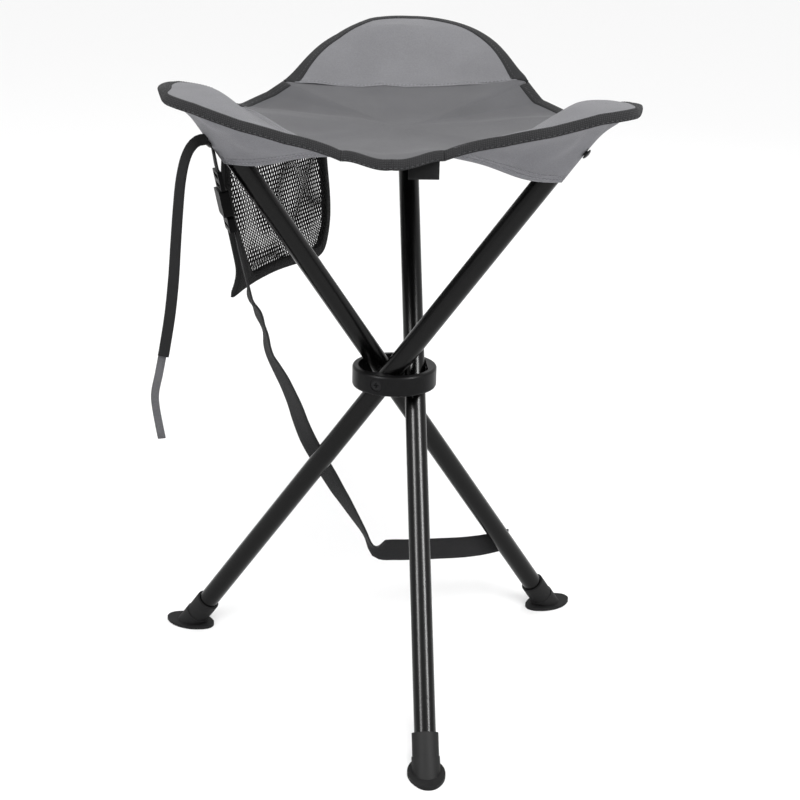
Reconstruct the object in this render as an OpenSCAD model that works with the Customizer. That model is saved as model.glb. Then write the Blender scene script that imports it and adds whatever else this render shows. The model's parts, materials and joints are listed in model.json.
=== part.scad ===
// Three-legged folding camp stool: three crossed steel tube legs pivot in one moulded hub
// ring and carry a sling seat whose three corners are pocketed over the tube tops.
// The origin is on the ground under the hub, +Z is up, and the front leg's foot is at -Y.

/* [Frame] */
// Outside diameter of the leg tubes
tube_d = 16; // [15:0.5:17]
// Wall thickness of the leg tubes
tube_wall = 1.2; // [1:0.1:1.5]
// Lean of each leg from the vertical with the stool open
leg_tilt = 36; // [34:0.5:38]
// Height of the leg pivots above the ground
pivot_z = 246; // [236:1:256]
// Distance from the stool's centre line to each leg's plane
leg_offset = 15.7; // [15.5:0.1:16.5]
// Length of each tube above its pivot
upper_len = 270; // [262:1:274]

/* [Hub] */
// Outside diameter of the hub ring
hub_d = 65; // [64:0.5:70]
// Height of the hub ring
hub_h = 16; // [14:1:20]
// Diameter of the pivot bolts
bolt_d = 5; // [4:0.5:6]

/* [Feet] */
// Outside diameter of the rubber sleeve on each tube
sleeve_d = 19.6; // [19:0.2:21]
// Length of the sleeve along the leg, from the ground
sleeve_len = 30; // [26:1:36]
// Half length of the oval ground pad, along the leg's direction
pad_half_len = 21.5; // [20:0.5:24]
// Half width of the oval ground pad
pad_half_w = 13.8; // [12.5:0.1:14.5]
// Thickness of the ground pad at its rim
pad_t = 2.6; // [2:0.2:4]

/* [Seat] */
// Distance from the centre line to each corner seam
seam_u = 95; // [90:1:100]
// Half width of the seat at a corner seam
seam_half_w = 96; // [90:1:100]
// Distance from the centre line to each corner's tip
tip_u = 189; // [186:1:194]
// Distance from the centre line to the middle of each seat edge
edge_mid_r = 146; // [138:1:150]
// Height of the sagging middle of the seat
seat_mid_z = 438; // [434:1:441]
// Tilt of the slack seat cloth, up towards the back corner
seat_rake = 4.9; // [3:0.1:5]
// Thickness of the seat cloth
cloth_t = 1.2; // [1:0.1:2]
// Width of the edge tape
tape_w = 9; // [7:0.5:11]
// Thickness of the edge tape, folded over the cloth
tape_t = 2.4; // [2:0.1:3]

/* [Straps and pocket] */
// Width of the carry strap
strap_w = 19; // [17:0.5:20]
// Thickness of the strap webbing
strap_t = 1.6; // [1.4:0.1:2]
// Width of the tie strap
tie_w = 8; // [7:0.5:10]
// Distance from the centre line to the mesh pocket
mesh_r = 100; // [98:1:104]
// Height of the mesh pocket's bottom edge above the ground
mesh_bottom_z = 312; // [306:1:330]

/* [Hidden] */

$fn = 48;
clear = 0.05;               // radial clearance of a running fit
tiny = 0.01;
big = 200;

// The plan direction that each leg's upper end leans towards: front, left and right leg.
// The front leg carries the back corner, the left leg the right corner, and so on.
FRONT = 90;
LEFT = -30;
RIGHT = 210;
LEANS = [FRONT, LEFT, RIGHT];

tube_id = tube_d - 2 * tube_wall;
foot_s = -pivot_z / cos(leg_tilt);          // where a leg's axis meets the ground
tube_bottom_s = foot_s + 12;
bore_d = bolt_d + 2 * clear;
flat_x = tube_d / 2 + 1.2;                  // hub flat beside the tube, from the tube's axis
washer_t = 0.8;
washer_x = tube_d / 2 + 0.3;
nut_t = 4.6;
nut_x = -tube_d / 2 - 0.3 - nut_t;
bolt_head_d = 9;
bolt_head_h = 3;
hub_wall_x = hub_d / 2 - leg_offset;        // hub's outer face, from the tube's axis
opening_r = hub_d / 2 - 4.5;
rivet_s = 243;
rivet_d = 4;
strap_rivet_s = -221;
cap_h = 3;

// The seat is turned so that its corners sit over the offset tube tops. Its heights are those
// of the level seat, before the rake.
seat_turn = -6.5;
tip_z = 480.5;
seam_mid_z = 445;
seam_end_z = 448;
edge_mid_z = 441;
gap = 0.4;                                   // sewn panels stop this far apart
seam_angle = atan(seam_half_w / seam_u);
inner_seam_angle = atan((seam_half_w - tape_w) / seam_u);
seam_end_r = norm([seam_u, seam_half_w]);
pocket_gap = 1.4;                              // between a tube and the cloth under it
hem_s = 212;                                 // where the pockets' hems cross the legs

// How the cloth has settled out of true: bearing and rise at the rim.
SETTLE = [
    [0, -5], [15, -6], [30, -6], [39, -6], [46, 6], [60, 3], [75, 1], [90, -1], [100, 0],
    [110, -4], [120, -4], [135, -3], [141, -8], [150, -10], [165, -8], [180, -2], [195, -1], [210, -1],
    [220, 0], [230, -2], [240, -1], [255, 6], [270, 13], [285, 9], [300, 3], [310, 2], [320, 4],
    [330, 1], [340, -2], [350, -4], [360, -5]
];

// Centre line of the carry strap: x, y, z and the level direction that its face looks in.
CARRY_ROUTE = [
    [-121, -39, 368, 185], [-116, -38, 345, 187], [-111, -36, 323, 189], [-109, -32, 314, 203],
    [-105, -28, 305, 206], [-103, -23, 296, 206], [-100, -18, 287, 202], [-98, -13, 278, 198],
    [-96.5, -8, 268, 206], [-93, -3, 258, 214], [-87, 4, 244, 219], [-81, 11, 229, 220],
    [-76, 17, 215, 223], [-71, 24, 198, 227], [-64.5, 31, 180, 231], [-56.5, 37, 163, 231],
    [-48, 43, 146, 230], [-40.5, 48, 131, 225], [-34.5, 51, 120, 219], [-27, 54.5, 106, 211],
    [-19.5, 57.5, 92, 203], [-14, 60, 81, 199], [-8.5, 62.5, 73, 215], [-2, 64, 70, 250],
    [9, 66, 69, 275], [21, 67, 68.5, 280], [47, 70, 68, 284], [66, 73, 67.5, 290],
    [82, 78, 67, 295], [93, 82.7, 67, 299], [100.1, 86.5, 67, 300], [108, 91.1, 67, 300]
];

// Centre line of the short webbing between the left pocket's hem and the slider.
ANCHOR_ROUTE = [[-136, -55, 432, 190], [-135, -53, 426, 190], [-134, -51, 420, 190], [-133, -50, 415, 190]];

// Centre line of the tie strap, which hangs free from the left pocket's hem.
TIE_ROUTE = [
    [-141, -66, 435, 235], [-146, -68, 435, 235], [-151, -70, 431, 238], [-155, -72, 424, 242],
    [-158, -74, 411, 246], [-160, -75, 392, 250], [-162, -75, 368, 254], [-164, -75, 342, 262],
    [-167, -74, 316, 268], [-171, -73, 292, 270]
];
TIE_END_ROUTE = [[-173, -72, 285, 270], [-176, -71, 270, 268], [-179, -70, 256, 262],
    [-179, -70, 246, 258], [-177, -70, 232, 260], [-175, -70, 220, 262]];

// ---------- placing ----------

// Leg frame: origin at the pivot, +X out along the bolt, +Z up the tube.
module on_leg(lean) {
    rotate([0, 0, lean - 90]) translate([leg_offset, 0, pivot_z]) rotate([-leg_tilt, 0, 0]) children();
}

// Pivot frame: as the leg frame, but upright.
module on_pivot(lean) {
    rotate([0, 0, lean - 90]) translate([leg_offset, 0, pivot_z]) children();
}

// ---------- helpers ----------

module along_x(d, x0, x1) {
    translate([x0, 0, 0]) rotate([0, 90, 0]) cylinder(d = d, h = x1 - x0);
}

// A closed solid between two equal grids of points, given as lists of rows.
module sheet(top, bottom) {
    rows = len(top);
    cols = len(top[0]);
    n = rows * cols;
    points = concat([for (row = top) each row], [for (row = bottom) each row]);
    function at(i, j) = i * cols + j;
    skins = [
        for (i = [0:rows - 2]) for (j = [0:cols - 2]) each [
            [at(i, j), at(i, j + 1), at(i + 1, j + 1)], [at(i, j), at(i + 1, j + 1), at(i + 1, j)],
            [n + at(i, j), n + at(i + 1, j + 1), n + at(i, j + 1)],
            [n + at(i, j), n + at(i + 1, j), n + at(i + 1, j + 1)]
        ]
    ];
    ends = [
        for (j = [0:cols - 2]) each [
            [at(0, j), n + at(0, j), n + at(0, j + 1)], [at(0, j), n + at(0, j + 1), at(0, j + 1)],
            [at(rows - 1, j), n + at(rows - 1, j + 1), n + at(rows - 1, j)],
            [at(rows - 1, j), at(rows - 1, j + 1), n + at(rows - 1, j + 1)]
        ]
    ];
    sides = [
        for (i = [0:rows - 2]) each [
            [at(i, 0), n + at(i + 1, 0), n + at(i, 0)], [at(i, 0), at(i + 1, 0), n + at(i + 1, 0)],
            [at(i, cols - 1), n + at(i, cols - 1), n + at(i + 1, cols - 1)],
            [at(i, cols - 1), n + at(i + 1, cols - 1), at(i + 1, cols - 1)]
        ]
    ];
    polyhedron(points = points, faces = concat(skins, ends, sides), convexity = 10);
}

function shift(rows, d) = [for (row = rows) [for (p = row) p + d]];

// A flat strap swept along a route of [x, y, z, yaw]: each ring is a w by t rectangle whose
// face looks in the level direction yaw.
module strap(route, w, t) {
    n = len(route);
    function at(i) = [route[i][0], route[i][1], route[i][2]];
    function unit(v) = v / norm(v);
    function dir(i) = unit(at(min(i + 1, n - 1)) - at(max(i - 1, 0)));
    function face_dir(i) = [cos(route[i][3]), sin(route[i][3]), 0];
    function wide(i) = unit(cross(face_dir(i), dir(i)));
    function thin(i) = cross(dir(i), wide(i));
    points = [for (i = [0:n - 1]) for (c = [[-1, -1], [1, -1], [1, 1], [-1, 1]])
        at(i) + c[0] * w / 2 * wide(i) + c[1] * t / 2 * thin(i)];
    walls = [for (i = [0:n - 2]) for (k = [0:3]) each [
        [4 * i + k, 4 * (i + 1) + k, 4 * i + (k + 1) % 4],
        [4 * i + (k + 1) % 4, 4 * (i + 1) + k, 4 * (i + 1) + (k + 1) % 4]]];
    last = 4 * n - 4;
    polyhedron(points = points,
        faces = concat([[0, 1, 2], [0, 2, 3]], walls,
            [[last, last + 2, last + 1], [last, last + 3, last + 2]]),
        convexity = 10);
}

// ---------- hub ----------

// Round body with a rounded three-sided opening. Each leg lies along one flat.
module hub_ring() {
    color("dimgray") translate([0, 0, pivot_z]) difference() {
        rotate_extrude($fn = 96) hub_profile();
        intersection() {
            translate([0, 0, -hub_h]) cylinder(r = opening_r, h = 2 * hub_h, $fn = 96);
            for_all_flats();
        }
        for (lean = LEANS) rotate([0, 0, lean - 90]) translate([leg_offset, 0, 0]) {
            along_x(bolt_d, 0, hub_d);
            along_x(bolt_head_d, hub_wall_x - bolt_head_h - 0.6, hub_d);
        }
    }
}

module hub_profile() {
    r = hub_d / 2;
    h = hub_h / 2;
    soft = 1.6;
    polygon([[tiny, -h], [r - soft, -h], [r - soft * 0.3, -h + soft * 0.3], [r, -h + soft],
        [r, h - soft], [r - soft * 0.3, h - soft * 0.3], [r - soft, h], [tiny, h]]);
}

module for_all_flats() {
    flat_r = leg_offset + flat_x;
    intersection_for(lean = LEANS)
        rotate([0, 0, lean - 90]) translate([-big + flat_r, -big, -hub_h]) cube([big, 2 * big, 2 * hub_h]);
}

module pivot_bolts() {
    color("silver") for (lean = LEANS) on_pivot(lean) difference() {
        union() {
            along_x(bolt_d, nut_x - 0.4, hub_wall_x - bolt_head_h);
            along_x(bolt_head_d - 0.4, hub_wall_x - bolt_head_h - 0.6, hub_wall_x - 0.9);
        }
        for (turn = [0, 90]) translate([hub_wall_x - 1.3, 0, 0]) rotate([turn, 0, 0])
            cube([2.6, 1, 4.4], center = true);
    }
}

module pivot_washers() {
    color("whitesmoke") for (lean = LEANS) on_pivot(lean) difference() {
        along_x(11, washer_x, washer_x + washer_t);
        along_x(bolt_d, washer_x - 1, washer_x + washer_t + 1);
    }
}

module pivot_nuts() {
    color("silver") for (lean = LEANS) on_pivot(lean) difference() {
        translate([nut_x, 0, 0]) rotate([0, 90, 0]) cylinder(d = 9.2, h = nut_t, $fn = 6);
        along_x(bolt_d, nut_x - 1, nut_x + nut_t + 1);
    }
}

// ---------- legs ----------

module leg_tube(lean) {
    color([0.09, 0.09, 0.1]) on_leg(lean) difference() {
        translate([0, 0, tube_bottom_s]) cylinder(d = tube_d, h = upper_len - tube_bottom_s);
        translate([0, 0, tube_bottom_s - 1]) cylinder(d = tube_id, h = upper_len - tube_bottom_s + 2);
        along_x(bore_d, -tube_d, tube_d);
        translate([0, 0, rivet_s]) rotate([-90, 0, 0]) cylinder(d = rivet_d, h = tube_d);
    }
}

module front_tube() { leg_tube(FRONT); }
module left_tube() { leg_tube(LEFT); }
module right_tube() { leg_tube(RIGHT); }

// Four-arc oval: a lens of two large arcs with a round end at each side.
module oval(half_len, half_w, h) {
    end_r = 9;
    end_x = half_len - end_r;
    side_r = (end_x * end_x + half_w * half_w - end_r * end_r) / (2 * (half_w - end_r));
    join_x = end_x * (1 + end_r / (side_r - end_r));
    intersection() {
        translate([0, half_w - side_r, 0]) cylinder(r = side_r, h = h, $fn = 96);
        translate([0, side_r - half_w, 0]) cylinder(r = side_r, h = h, $fn = 96);
        translate([-join_x, -half_w, 0]) cube([2 * join_x, 2 * half_w, h]);
    }
    for (s = [-1, 1]) translate([s * end_x, 0, 0]) cylinder(r = end_r, h = h);
}

// Rubber boot: a sleeve along the tube on a flat oval pad, with a thicker band at the heel.
module foot(lean) {
    heel_len = 13;
    color([0.13, 0.13, 0.14]) difference() {
        union() {
            intersection() {
                on_leg(lean) union() {
                    translate([0, 0, foot_s - sleeve_d]) cylinder(d = sleeve_d, h = sleeve_len + sleeve_d);
                    translate([0, 0, foot_s - sleeve_d])
                        cylinder(d = sleeve_d + 1.2, h = heel_len + sleeve_d);
                }
                translate([-big, -big - 50, 0]) cube([3 * big, 3 * big, big]);
            }
            rotate([0, 0, lean - 90]) translate([leg_offset, foot_s * sin(leg_tilt), 0])
                rotate([0, 0, 90]) oval(pad_half_len, pad_half_w, pad_t);
        }
        on_leg(lean) translate([0, 0, tube_bottom_s]) cylinder(d = tube_d, h = sleeve_len);
    }
}

module front_foot() { foot(FRONT); }
module left_foot() { foot(LEFT); }
module right_foot() { foot(RIGHT); }

// Domed plastic cap pushed into the tube's top end, so that the tube doesn't cut the cloth.
module tube_cap(lean) {
    color([0.1, 0.1, 0.1]) on_leg(lean) translate([0, 0, upper_len]) rotate_extrude() polygon([
        [0, -12], [tube_id / 2 - 0.4, -12], [tube_id / 2, -10], [tube_id / 2, 0], [tube_d / 2, 0],
        [tube_d / 2, cap_h * 0.3], [tube_d / 2 - 1.2, cap_h * 0.75], [tube_d / 2 - 3.5, cap_h], [0, cap_h]]);
}

module front_tube_cap() { tube_cap(FRONT); }
module left_tube_cap() { tube_cap(LEFT); }
module right_tube_cap() { tube_cap(RIGHT); }

// ---------- seat ----------

function smooth(x) = let (c = max(0, min(1, x))) c * c * (3 - 2 * c);
function turned(p, a) = [p[0] * cos(a) - p[1] * sin(a), p[0] * sin(a) + p[1] * cos(a), p[2]];

// A point of the seat: r out from the centre line at angle a, height z before the rake.
function settled(a, r) = lookup((a % 360 + 360) % 360, SETTLE) * min(1, pow(r / 125, 2));
function seat_point(a, r, z) = let (p = turned([r, 0, z + settled(a, r) - seat_mid_z], a + seat_turn))
    [p[0], p[1] * cos(seat_rake) - p[2] * sin(seat_rake),
        seat_mid_z + p[1] * sin(seat_rake) + p[2] * cos(seat_rake)];

// Rim of a corner, by the angle f from the corner's own direction, out to the seam ends.
function rim_share(f) = min(1, abs(f) / seam_angle);
// The back corner stands up broad and round; the side corners are drawn in and more pointed.
function ear_u(lean) = tip_u - (lean == RIGHT ? 4 : lean == LEFT ? 1 : 0);
function ear_blunt(lean) = lean == FRONT ? 1.2 : 0.9;
function rim_r(lean, f) = let (drop = (1 - cos(180 * pow(rim_share(f), ear_blunt(lean)))) / 2)
    ear_u(lean) - (ear_u(lean) - seam_end_r) * drop;
function rim_z(f) = tip_z - (tip_z - seam_end_z) * pow(rim_share(f), 1.7);
function seam_z(f) = seam_mid_z + (seam_end_z - seam_mid_z) * pow(tan(abs(f)) / tan(seam_angle), 1.5);

// Height of a corner's cloth at a radius between the seam and the rim. The tube's end props
// the cloth up along the middle.
function corner_z(lean, f, r) = let (
        seam_r = seam_u / cos(f),
        k = max(0, (r - seam_r) / max(1, rim_r(lean, f) - seam_r)),
        crest = 0.64 + 0.36 * smooth(abs(f) / 24))
    seam_z(f) + (rim_z(f) - seam_z(f)) * smooth(k / crest);
function corner_point(lean, f, r) = seat_point(lean + f, r, corner_z(lean, f, r));

PANEL_FS = [for (i = [-10:10]) i / 10 * (inner_seam_angle - 1.5)];
RIM_FS = [for (i = [-12:12]) i / 12 * seam_angle];

// Cloth panel on top of a corner, inside its edge tape.
module corner_panel(lean) {
    rows = [for (f = PANEL_FS) let (r0 = (seam_u + gap) / cos(f), r1 = rim_r(lean, f) - tape_w - gap)
        [for (k = [0:0.125:1]) corner_point(lean, f, r0 + (r1 - r0) * k)]];
    color([0.58, 0.58, 0.6])
        sheet(shift(rows, [0, 0, -cloth_t / 2]), shift(rows, [0, 0, cloth_t / 2]));
}

module back_corner() { corner_panel(FRONT); }
module right_corner() { corner_panel(LEFT); }
module left_corner() { corner_panel(RIGHT); }

// Inner edge of a corner's tape, which ends at the seam.
function tape_r(lean, f) = min(rim_r(lean, f) - 1, max(rim_r(lean, f) - tape_w, (seam_u + gap) / cos(f)));

// Edge tape round a corner, from seam end to seam end.
module corner_tape(lean) {
    rows = [for (f = RIM_FS)
        [for (r = [tape_r(lean, f), rim_r(lean, f)]) corner_point(lean, f, r)]];
    color([0.22, 0.22, 0.24])
        sheet(shift(rows, [0, 0, -tape_t / 2]), shift(rows, [0, 0, tape_t / 2]));
}

module back_corner_tape() { corner_tape(FRONT); }
module right_corner_tape() { corner_tape(LEFT); }
module left_corner_tape() { corner_tape(RIGHT); }

// Outline of the middle panel by angle round the centre line: straight along each corner seam
// and bowed out between the seams.
function from_corner(a) = 60 - abs((a + 270) % 120 - 60);
function edge_share(a) = smooth((from_corner(a) - seam_angle) / (60 - seam_angle));
function outline_r(a) = from_corner(a) < seam_angle
    ? (seam_u - gap) / cos(from_corner(a))
    : seam_end_r + (edge_mid_r - seam_end_r) * edge_share(a);
function outline_z(a) = from_corner(a) < seam_angle
    ? seam_z(from_corner(a))
    : seam_end_z + (edge_mid_z - seam_end_z) * edge_share(a);
function panel_point(a, r) =
    seat_point(a, r, seat_mid_z + (outline_z(a) - seat_mid_z) * pow(r / outline_r(a), 1.8));
SEAM_STEPS = [for (i = [-4:4]) i / 4 * (inner_seam_angle - 1)];
EDGE_STEPS = [for (i = [0:8]) seam_angle + 0.8 + i / 8 * (120 - 2 * seam_angle - 1.6)];

// Middle panel of the sling: rings of points round the centre line, closed above and below.
module seat_panel() {
    angles = [for (c = [90, 210, 330]) for (step = concat(SEAM_STEPS, EDGE_STEPS)) c + step];
    shares = [0.15, 0.4, 0.65, 0.85, 1];
    cols = len(angles);
    n = len(shares) * cols;
    function reach(a) = outline_r(a) - (from_corner(a) < seam_angle ? 0 : tape_w);
    rings = [for (s = shares) for (a = angles) panel_point(a, s * reach(a))];
    middle = [0, 0, seat_mid_z];
    up = [0, 0, cloth_t / 2];
    function at(i, j) = i * cols + j % cols;
    faces = concat(
        [for (i = [0:len(shares) - 2]) for (j = [0:cols - 1]) each [
            [at(i, j), at(i, j + 1), at(i + 1, j + 1)], [at(i, j), at(i + 1, j + 1), at(i + 1, j)],
            [n + at(i, j), n + at(i + 1, j + 1), n + at(i, j + 1)],
            [n + at(i, j), n + at(i + 1, j), n + at(i + 1, j + 1)]]],
        [for (j = [0:cols - 1]) let (rim = len(shares) - 1) each [
            [at(rim, j), at(rim, j + 1), n + at(rim, j + 1)],
            [at(rim, j), n + at(rim, j + 1), n + at(rim, j)],
            [2 * n, at(0, j + 1), at(0, j)], [2 * n + 1, n + at(0, j), n + at(0, j + 1)]]]);
    color([0.45, 0.45, 0.47]) polyhedron(
        points = concat([for (p = rings) p + up], [for (p = rings) p - up], [middle + up, middle - up]),
        faces = faces, convexity = 10);
}

// Edge tape between two corner seams, starting from the corner at the given angle.
module edge_tape(corner) {
    rows = [for (step = EDGE_STEPS) let (a = corner + step, r = outline_r(a))
        [panel_point(a, r - tape_w), panel_point(a, r)]];
    color([0.22, 0.22, 0.24])
        sheet(shift(rows, [0, 0, -tape_t / 2]), shift(rows, [0, 0, tape_t / 2]));
}

module left_edge_tape() { edge_tape(90); }
module front_edge_tape() { edge_tape(210); }
module right_edge_tape() { edge_tape(330); }

// Pocket under a corner: cloth from one side's rim, under the tube, to the other side's rim.
function under_tube(lean, s, off) = turned([s * sin(leg_tilt) + off * cos(leg_tilt), -leg_offset,
    pivot_z + s * cos(leg_tilt) - off * sin(leg_tilt)], lean);
function under_line(lean, m) = let (
        off = tube_d / 2 + pocket_gap, along = 0.8, end_s = upper_len + 4,
        k = max(0, (m - along) / (1 - along)))
    under_tube(lean, min(end_s, hem_s + (end_s - hem_s) * m / along), off) * (1 - k)
    + (corner_point(lean, 0, ear_u(lean) - 2) - [0, 0, 4]) * k;
function pocket_point(lean, m, q) = let (
        f = (q < 0 ? -1 : 1) * (seam_angle - 0.5) * (1 - m),
        rim = corner_point(lean, f, rim_r(lean, f) - 1) - [0, 0, tape_t / 2 + cloth_t],
        low = under_line(lean, m),
        across = abs(q),
        rise = pow(across, 1.4))
    [low[0] + (rim[0] - low[0]) * across, low[1] + (rim[1] - low[1]) * across,
        low[2] + (rim[2] - low[2]) * rise];

module corner_pocket(lean) {
    qs = [-1, -0.85, -0.7, -0.5, -0.3, -0.15, -0.06, 0, 0.06, 0.15, 0.3, 0.5, 0.7, 0.85, 1];
    rows = [for (i = [0:10]) [for (q = qs) pocket_point(lean, i * 0.096, q)]];
    skin = 0.85 * cloth_t * turned([cos(leg_tilt), 0, -sin(leg_tilt)], lean);
    color([0.56, 0.56, 0.59]) sheet(rows, shift(rows, skin));
}

module back_pocket() { corner_pocket(FRONT); }
module right_pocket() { corner_pocket(LEFT); }
module left_pocket() { corner_pocket(RIGHT); }

// Rivet into a tube, along +Z from the tube's axis, with its head starting at head_start.
module rivet(head_start) {
    shank_start = tube_d / 2 - tube_wall - 1;
    color([0.1, 0.1, 0.1]) rotate_extrude() polygon([
        [0, shank_start], [rivet_d / 2, shank_start], [rivet_d / 2, head_start], [3.9, head_start],
        [3.9, head_start + 0.5], [3.1, head_start + 1.1], [1.6, head_start + 1.5], [0, head_start + 1.6]]);
}

// Rivet through the pocket's cloth.
module pocket_rivet(lean) {
    on_leg(lean) translate([0, 0, rivet_s]) rotate([-90, 0, 0]) rivet(tube_d / 2 + pocket_gap + cloth_t);
}

module back_rivet() { pocket_rivet(FRONT); }
module right_rivet() { pocket_rivet(LEFT); }
module left_rivet() { pocket_rivet(RIGHT); }

// ---------- mesh pocket and tab ----------

mesh_gap = 8;                // between the pocket's two layers
mesh_t = 1;
mesh_tape_w = 8;
MESH_OUTLINE = [[-72, mesh_bottom_z], [66, mesh_bottom_z], [78, 350], [72, 428], [-30, 428], [-84, 404]];

// Pocket frame: +X along the seat's left edge, +Y up, +Z out from the centre line.
module on_mesh() {
    rotate([0, 0, 150]) translate([mesh_r, 0, 0]) rotate([90, 0, 90]) mirror([1, 0, 0]) children();
}

// Two layers of netting, open at the top.
module mesh_pocket() {
    color([0.12, 0.12, 0.13]) on_mesh() for (z = [-mesh_gap / 2 - mesh_t, mesh_gap / 2])
        translate([0, 0, z]) linear_extrude(mesh_t) offset(delta = -tiny) polygon(MESH_OUTLINE);
}

// Tape that closes the pocket's sides and bottom.
module mesh_pocket_tape() {
    t = mesh_gap - 2 * tiny;
    color([0.06, 0.06, 0.06]) on_mesh() translate([0, 0, -t / 2]) linear_extrude(t) difference() {
        polygon(MESH_OUTLINE);
        polygon([[mesh_tape_w - 72, mesh_bottom_z + mesh_tape_w],
            [66 - mesh_tape_w, mesh_bottom_z + mesh_tape_w], [78 - mesh_tape_w, 350],
            [72 - mesh_tape_w, 450], [-30, 450], [mesh_tape_w - 84, 412],
            [mesh_tape_w - 84, 404]]);
    }
}

// Small sewn tab under the middle of the front edge.
module hang_tab() {
    color([0.07, 0.07, 0.07]) translate([10, -134, 423])
        linear_extrude(19.3) offset(r = 0.5) square([21, 1], center = true);
}

// ---------- straps ----------

module carry_strap() { color([0.15, 0.15, 0.16]) strap(CARRY_ROUTE, strap_w, strap_t); }
module strap_anchor() { color([0.15, 0.15, 0.16]) strap(ANCHOR_ROUTE, strap_w, strap_t); }
module tie_strap() { color([0.3, 0.3, 0.31]) strap(TIE_ROUTE, tie_w, strap_t); }
module tie_strap_end() { color([0.4, 0.4, 0.41]) strap(TIE_END_ROUTE, tie_w - 2, strap_t); }

// Strap hardware frame: +Z up the strap, +X across it, +Y out of its face.
module on_strap(p) { translate(p) rotate([0, -12, 0]) rotate([0, 0, 100]) children(); }

// Three-bar slider.
module strap_slider() {
    color([0.05, 0.05, 0.05]) on_strap([-132, -49.5, 408]) rotate([90, 0, 0])
        translate([0, 0, -1.5]) linear_extrude(3) difference() {
            offset(r = 2) square([strap_w + 2, 10], center = true);
            for (y = [-3.4, 3.4]) translate([0, y]) square([strap_w + 0.6, 3.2], center = true);
        }
}

// Socket half of the side-release buckle.
module buckle_socket() {
    color([0.05, 0.05, 0.05]) on_strap([-128.8, -46.2, 391.5]) rotate([90, 0, 0]) difference() {
        translate([0, 0, -3.5]) linear_extrude(7) offset(r = 2) square([strap_w + 2, 15], center = true);
        translate([0, -5, 0]) cube([strap_w - 3, 14, 3.4], center = true);
    }
}

// Plug half of the side-release buckle, with its tongue in the socket.
module buckle_plug() {
    color([0.05, 0.05, 0.05]) on_strap([-124.8, -41.8, 375]) rotate([90, 0, 0]) {
        translate([0, 0, -2.5]) linear_extrude(5) difference() {
            offset(r = 1.5) square([strap_w + 2, 8], center = true);
            translate([0, -1]) square([strap_w + 0.6, 2.4], center = true);
        }
        translate([0, 10, 0]) cube([strap_w - 4, 11, 2.8], center = true);
    }
}

// Rivet through the carry strap's lower end into the back of the right leg.
module strap_rivet() {
    on_leg(RIGHT) translate([0, 0, strap_rivet_s]) rotate([0, 90, 0]) rivet(tube_d / 2 + 1.8);
}

hub_ring();
pivot_bolts();
pivot_washers();
pivot_nuts();
front_tube();
left_tube();
right_tube();
front_foot();
left_foot();
right_foot();
front_tube_cap();
left_tube_cap();
right_tube_cap();
seat_panel();
back_corner();
right_corner();
left_corner();
back_pocket();
right_pocket();
left_pocket();
back_rivet();
right_rivet();
left_rivet();
front_edge_tape();
left_edge_tape();
right_edge_tape();
back_corner_tape();
right_corner_tape();
left_corner_tape();
mesh_pocket();
mesh_pocket_tape();
hang_tab();
carry_strap();
strap_anchor();
strap_slider();
buckle_socket();
buckle_plug();
strap_rivet();
tie_strap();
tie_strap_end();
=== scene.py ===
import json
import math

import bmesh
import bpy
import numpy as np
from mathutils import Matrix, Vector
from mathutils.noise import noise


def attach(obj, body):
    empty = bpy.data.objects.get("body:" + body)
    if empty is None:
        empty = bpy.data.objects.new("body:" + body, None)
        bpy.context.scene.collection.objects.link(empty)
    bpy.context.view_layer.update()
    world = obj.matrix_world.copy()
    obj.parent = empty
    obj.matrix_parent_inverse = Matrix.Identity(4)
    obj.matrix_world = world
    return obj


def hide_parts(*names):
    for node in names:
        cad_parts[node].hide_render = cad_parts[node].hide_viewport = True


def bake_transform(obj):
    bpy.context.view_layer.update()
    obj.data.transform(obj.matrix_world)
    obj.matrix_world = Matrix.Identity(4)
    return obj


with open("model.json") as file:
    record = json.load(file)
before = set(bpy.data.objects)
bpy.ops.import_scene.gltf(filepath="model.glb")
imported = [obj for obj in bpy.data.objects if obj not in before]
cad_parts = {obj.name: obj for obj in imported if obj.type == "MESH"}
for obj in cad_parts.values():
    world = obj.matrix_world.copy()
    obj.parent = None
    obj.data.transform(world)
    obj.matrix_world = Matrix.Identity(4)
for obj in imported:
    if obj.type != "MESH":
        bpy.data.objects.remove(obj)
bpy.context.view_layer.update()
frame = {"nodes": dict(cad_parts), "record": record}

# ---------- driving dimensions, in millimetres, as in the CAD ----------

TUBE_D = 16
LEG_TILT = math.radians(36)
PIVOT_Z = 246
LEG_OFFSET = 15.7
UPPER_LEN = 270
SEAT_TURN = math.radians(-6.5)
SEAT_RAKE = math.radians(4.9)
SEAM_U = 95
SEAM_HALF_W = 96
TIP_U = 189
EDGE_MID_R = 146
SEAT_MID_Z = 438
SEAM_MID_Z = 445
SEAM_END_Z = 448
TIP_Z = 480.5
EDGE_MID_Z = 441
TAPE_W = 9
MESH_R = 100
MESH_GAP = 8
BINDING_HANG = 6
CLOTH_THICK = 0.8
WEBBING_W = 19
WEBBING_THICK = 1.5
TIE_W = 8
TIE_END_W = 6
TIE_THICK = 1.3
HANG_TAB_W = 21
NET_PITCH = 3.7
NET_STRAND = 0.5
NET_FLOOR_Z = 313
NET_HEIGHT = 118
SEAM_ANGLE = math.atan(SEAM_HALF_W / SEAM_U)
SEAM_END_R = math.hypot(SEAM_U, SEAM_HALF_W)

# By the bearing that a leg leans in: where the pocket's hem crosses it, along the leg from the pivot.
HEM_S = {90: 214, -30: 215, 210: 223}
# By the same bearing: how much shorter than the back one each ear is.
EAR_SHORT = {90: 0, -30: 1, 210: 4}

# Each corner: the direction its leg leans in, and the body that carries it.
CORNERS = {
    "back": (math.radians(90), "front_leg", "front_tube"),
    "right": (math.radians(-30), "left_leg", "left_tube"),
    "left": (math.radians(210), "right_leg", "right_tube"),
}
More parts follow.
